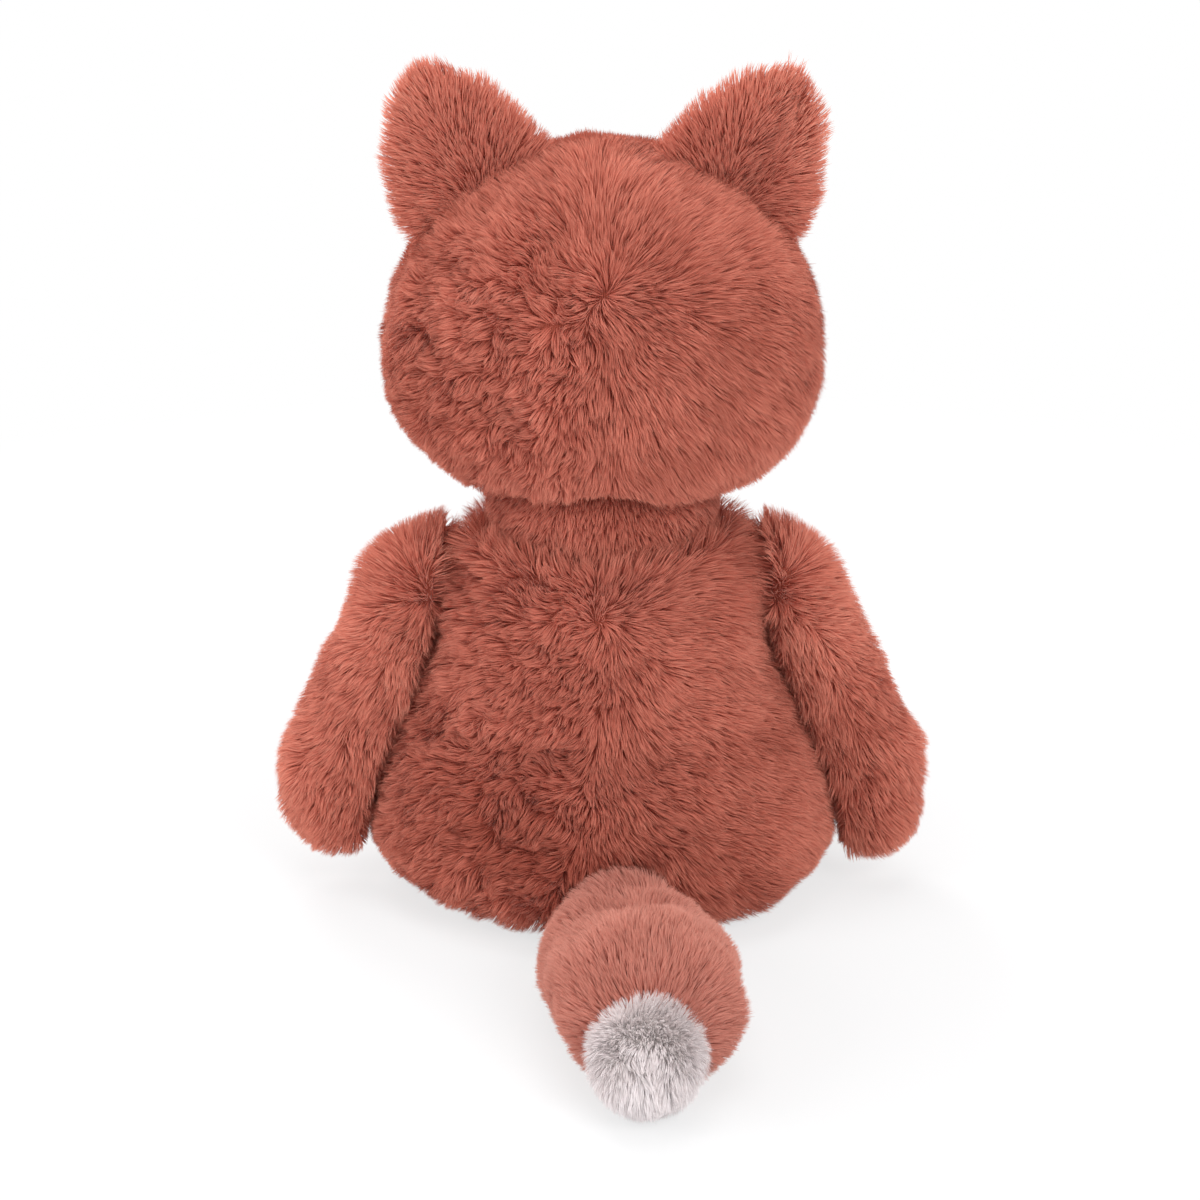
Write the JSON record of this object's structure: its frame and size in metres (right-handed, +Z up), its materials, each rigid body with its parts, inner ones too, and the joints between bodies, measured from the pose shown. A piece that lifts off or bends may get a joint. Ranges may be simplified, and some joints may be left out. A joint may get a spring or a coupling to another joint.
{
  "type": "plush fox",
  "caption": "Sitting plush fox of long rust pile with cream tummy, muzzle and tail tip; head, ears, arms, legs and tail are sewn on and move on their seams.",
  "frame": {"origin": "the point on the plane that it sits on, under the middle of its body", "axes": "+Z up, the fox looks along -Y, its own left side is +X"},
  "size_m": [0.2294, 0.3561, 0.2984],
  "materials": {
    "rust_fur": "long soft pile",
    "cream_fur": "long soft pile",
    "short_pile": "short pile",
    "polyester_filling": "loose fibre",
    "pellet_bag": "plain weave",
    "black_plastic": "polished",
    "washer_plastic": "moulded"
  },
  "bodies": {
    "body": {"body_fur": "rust_fur", "tummy_panel": "cream_fur", "body_filling": "polyester_filling", "bean_bag": "pellet_bag"},
    "neck": {"neck_filling": "polyester_filling"},
    "head": {"head_fur": "rust_fur", "head_filling": "polyester_filling", "cheek_left": "cream_fur", "cheek_right": "cream_fur", "muzzle": "cream_fur", "eye_left": "black_plastic", "eye_right": "black_plastic", "eye_left_washer": "washer_plastic", "eye_right_washer": "washer_plastic", "nose": "black_plastic", "nose_washer": "washer_plastic"},
    "ear_left": {"ear_left": "rust_fur", "ear_lining_left": "short_pile"},
    "arm_left": {"arm_left": "rust_fur", "arm_filling_left": "polyester_filling"},
    "leg_left": {"leg_left": "rust_fur", "sole_pad_left": "short_pile", "leg_filling_left": "polyester_filling"},
    "ear_right": {"ear_right": "rust_fur", "ear_lining_right": "short_pile"},
    "arm_right": {"arm_right": "rust_fur", "arm_filling_right": "polyester_filling"},
    "leg_right": {"leg_right": "rust_fur", "sole_pad_right": "short_pile", "leg_filling_right": "polyester_filling"},
    "tail": {"tail_fur": "rust_fur", "tail_filling": "polyester_filling", "tail_tip": "cream_fur"}
  },
  "joints": [
    {"name": "neck_turn", "type": "hinge", "parent": "body", "child": "neck", "pos_m": [0, 0, 0.148], "axis": [0, 0, 1], "range_deg": [-45, 45], "stiffness_Nm_per_rad": 0.5},
    {"name": "neck_nod", "type": "hinge", "parent": "neck", "child": "head", "pos_m": [0, 0, 0.148], "axis": [1, 0, 0], "range_deg": [-12, 12], "stiffness_Nm_per_rad": 1},
    {"name": "ear_flop_left", "type": "hinge", "parent": "head", "child": "ear_left", "pos_m": [0.041, 0.002, 0.25], "axis": [0.9063, 0, -0.4226], "range_deg": [-18, 18], "stiffness_Nm_per_rad": 0.05},
    {"name": "shoulder_left", "type": "hinge", "parent": "body", "child": "arm_left", "pos_m": [0.05, 0, 0.12], "axis": [-1, 0, 0], "range_deg": [-30, 90], "stiffness_Nm_per_rad": 0.2},
    {"name": "hip_left", "type": "hinge", "parent": "body", "child": "leg_left", "pos_m": [0.037, -0.052, 0.0255], "axis": [0.9903, 0.1392, 0], "range_deg": [-12, 75], "stiffness_Nm_per_rad": 0.3},
    {"name": "ear_flop_right", "type": "hinge", "parent": "head", "child": "ear_right", "pos_m": [-0.041, 0.002, 0.25], "axis": [0.8746, 0, 0.4848], "range_deg": [-18, 18], "stiffness_Nm_per_rad": 0.05},
    {"name": "shoulder_right", "type": "hinge", "parent": "body", "child": "arm_right", "pos_m": [-0.05, 0, 0.12], "axis": [-1, 0, 0], "range_deg": [-30, 90], "stiffness_Nm_per_rad": 0.2},
    {"name": "hip_right", "type": "hinge", "parent": "body", "child": "leg_right", "pos_m": [-0.037, -0.052, 0.0255], "axis": [0.9903, -0.1392, 0], "range_deg": [-12, 75], "stiffness_Nm_per_rad": 0.3},
    {"name": "tail_swing", "type": "hinge", "parent": "body", "child": "tail", "pos_m": [-0.006, 0.07, 0.021], "axis": [0, 0, 1], "range_deg": [-30, 30], "stiffness_Nm_per_rad": 0.2}
  ]
}
